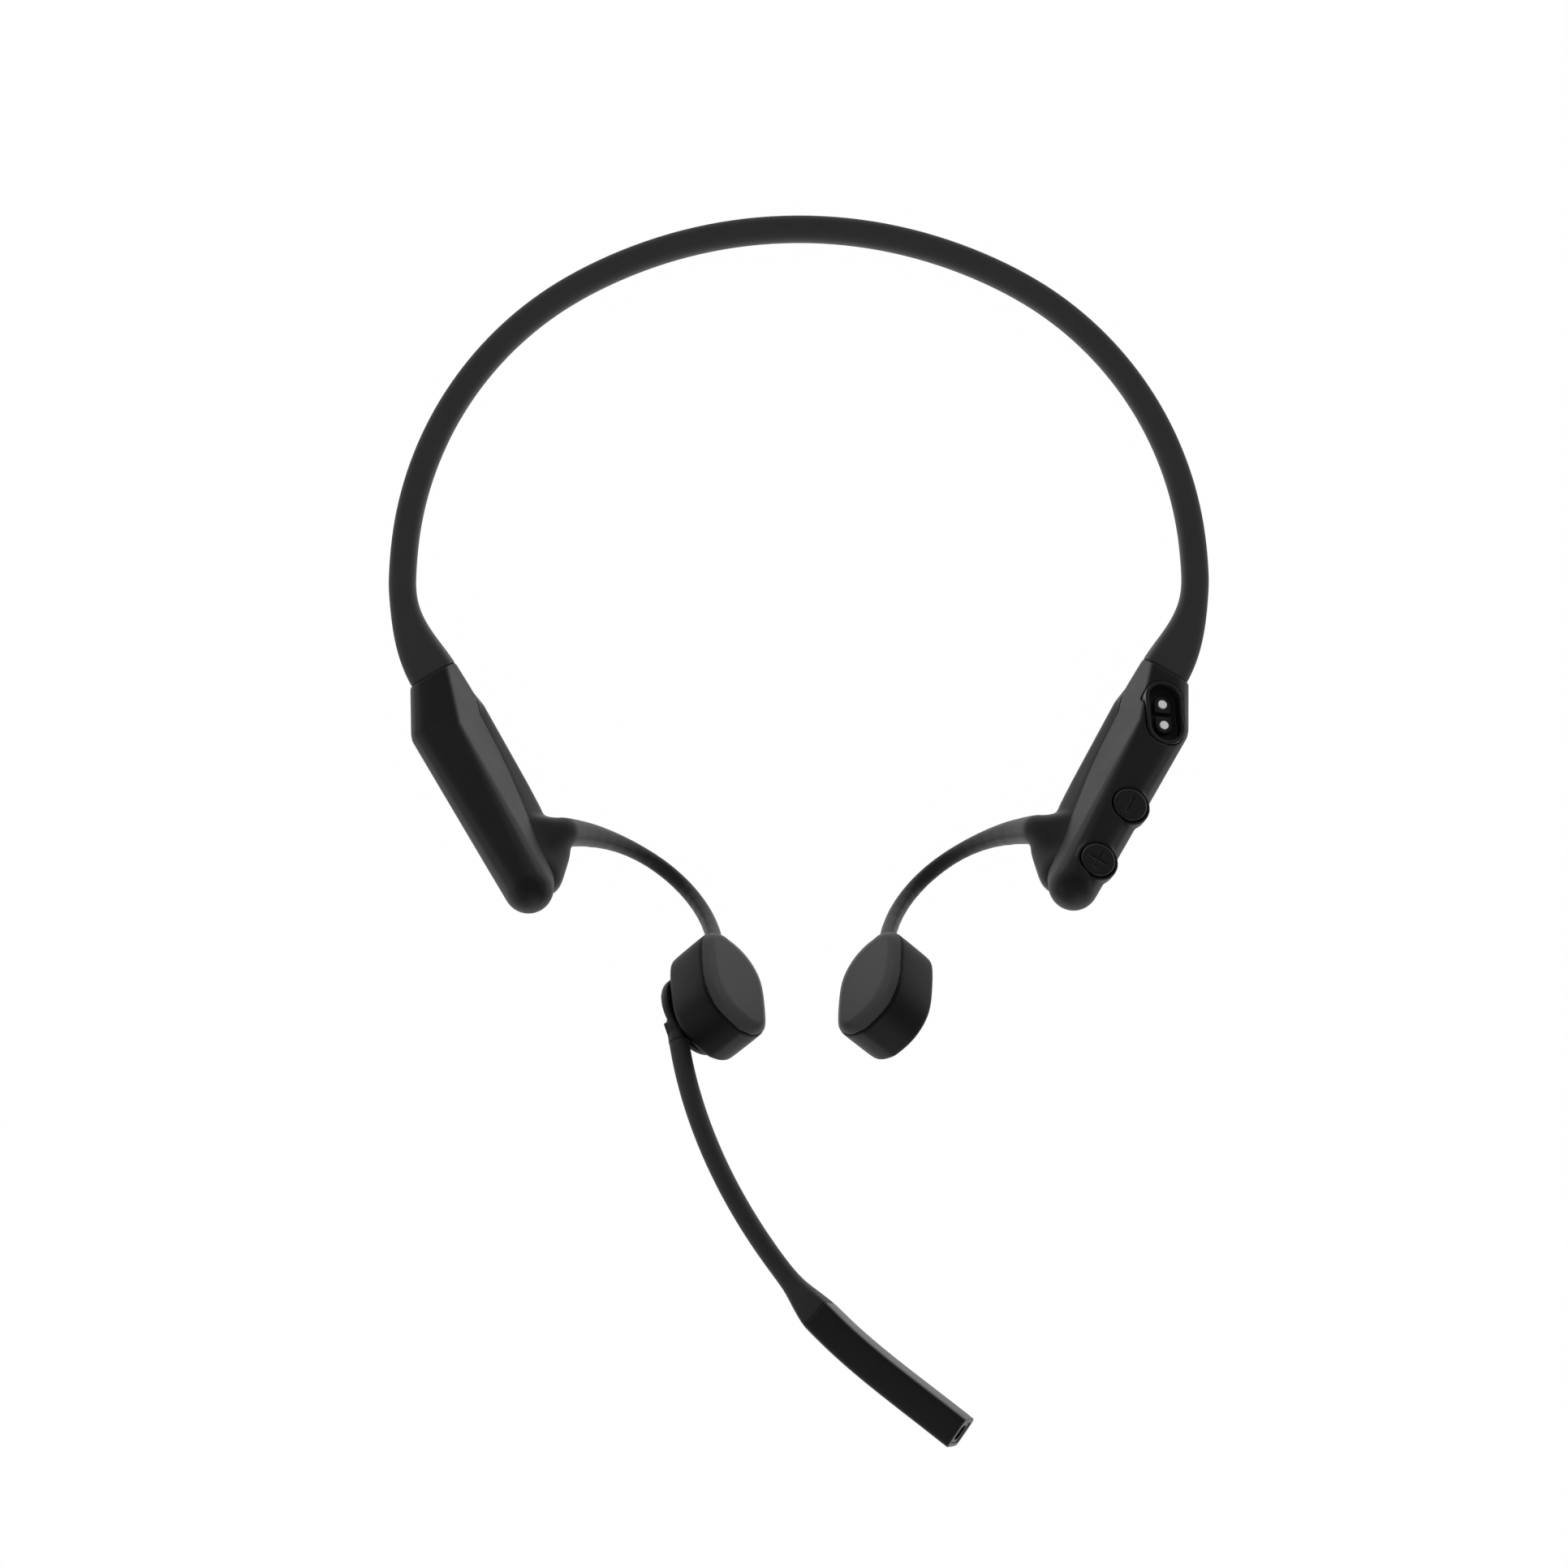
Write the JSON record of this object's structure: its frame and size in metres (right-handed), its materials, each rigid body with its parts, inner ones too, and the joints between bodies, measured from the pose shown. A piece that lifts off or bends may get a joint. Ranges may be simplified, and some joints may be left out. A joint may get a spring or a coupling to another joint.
{
  "type": "bone conduction headset",
  "caption": "Open-ear bone conduction headset: silicone neckband, two housings on ear hooks with transducer pods, and a swivelling boom microphone.",
  "frame": {"origin": "centre of the footprint, on the surface that the headset lies on", "axes": "+Y towards the nape, the long way of the headset; +X to the wearer's right; +Z towards the wearer's feet, because the headset lies upside down on its ear hooks and neckband"},
  "size_m": [0.13, 0.1853, 0.0781],
  "materials": {
    "band_silicone": "matt moulded silicone",
    "spring_wire": "drawn nickel-titanium wire",
    "cable_jacket": "thin jacket",
    "shell_plastic": "fine satin texture",
    "button_plastic": "satin",
    "hook_silicone": "soft-touch silicone",
    "pad_silicone": "soft-touch silicone",
    "battery_foil": "embossed foil",
    "circuit_board": "solder mask",
    "stamped_steel": "stamped",
    "contact_metal": "polished plating",
    "magnet_nickel": "nickel plating",
    "drive_steel": "zinc plating",
    "coil_copper": "enamelled wire",
    "arm_rubber": "matt rubber",
    "microphone_plastic": "satin"
  },
  "bodies": {
    "headset": {"neckband_sleeve": "band_silicone", "neckband_wire": "spring_wire", "neckband_cable": "cable_jacket", "housing_shell_left": "shell_plastic", "housing_shell_right": "shell_plastic", "ear_hook_left": "hook_silicone", "ear_hook_right": "hook_silicone", "ear_hook_wire_left": "spring_wire", "ear_hook_wire_right": "spring_wire", "battery_cell": "battery_foil", "battery_board": "circuit_board", "main_board": "circuit_board", "volume_switches": "stamped_steel", "charge_port_bezel": "button_plastic", "charge_contacts": "contact_metal", "charge_magnets": "magnet_nickel", "pod_shell_left": "shell_plastic", "pod_shell_right": "shell_plastic", "ear_pad_left": "pad_silicone", "ear_pad_right": "pad_silicone", "drive_plate_left": "drive_steel", "drive_plate_right": "drive_steel", "voice_coil_left": "coil_copper", "voice_coil_right": "coil_copper", "pole_plate_left": "drive_steel", "pole_plate_right": "drive_steel", "magnet_left": "magnet_nickel", "magnet_right": "magnet_nickel", "yoke_left": "drive_steel", "yoke_right": "drive_steel", "friction_washer": "stamped_steel", "pivot_retainer": "shell_plastic", "multifunction_switch": "stamped_steel"},
    "boom": {"boom_hub": "shell_plastic", "boom_arm": "arm_rubber", "boom_wire": "spring_wire", "microphone_housing": "microphone_plastic", "microphone_capsule": "stamped_steel", "microphone_mesh": "stamped_steel", "microphone_end_cap": "microphone_plastic"},
    "volume_minus": {"volume_minus_button": "button_plastic"},
    "volume_plus": {"volume_plus_button": "button_plastic"},
    "multifunction": {"multifunction_button": "button_plastic"}
  },
  "joints": [
    {"name": "boom_swivel", "type": "hinge", "parent": "headset", "child": "boom", "pos_m": [-0.01597, -0.03446, 0.03167], "axis": [0.6793, 0.5643, 0.4692], "range_deg": [-105, 60]},
    {"name": "volume_minus_press", "type": "slide", "parent": "headset", "child": "volume_minus", "axis": [-0.2536, -0.4221, -0.8704], "range_m": [0, 0.00035], "stiffness_N_per_m": 4000},
    {"name": "volume_plus_press", "type": "slide", "parent": "headset", "child": "volume_plus", "axis": [-0.2536, -0.4221, -0.8704], "range_m": [0, 0.00035], "stiffness_N_per_m": 4000},
    {"name": "multifunction_press", "type": "slide", "parent": "headset", "child": "multifunction", "axis": [0.6793, 0.5643, 0.4692], "range_m": [0, 0.00035], "stiffness_N_per_m": 4000}
  ]
}
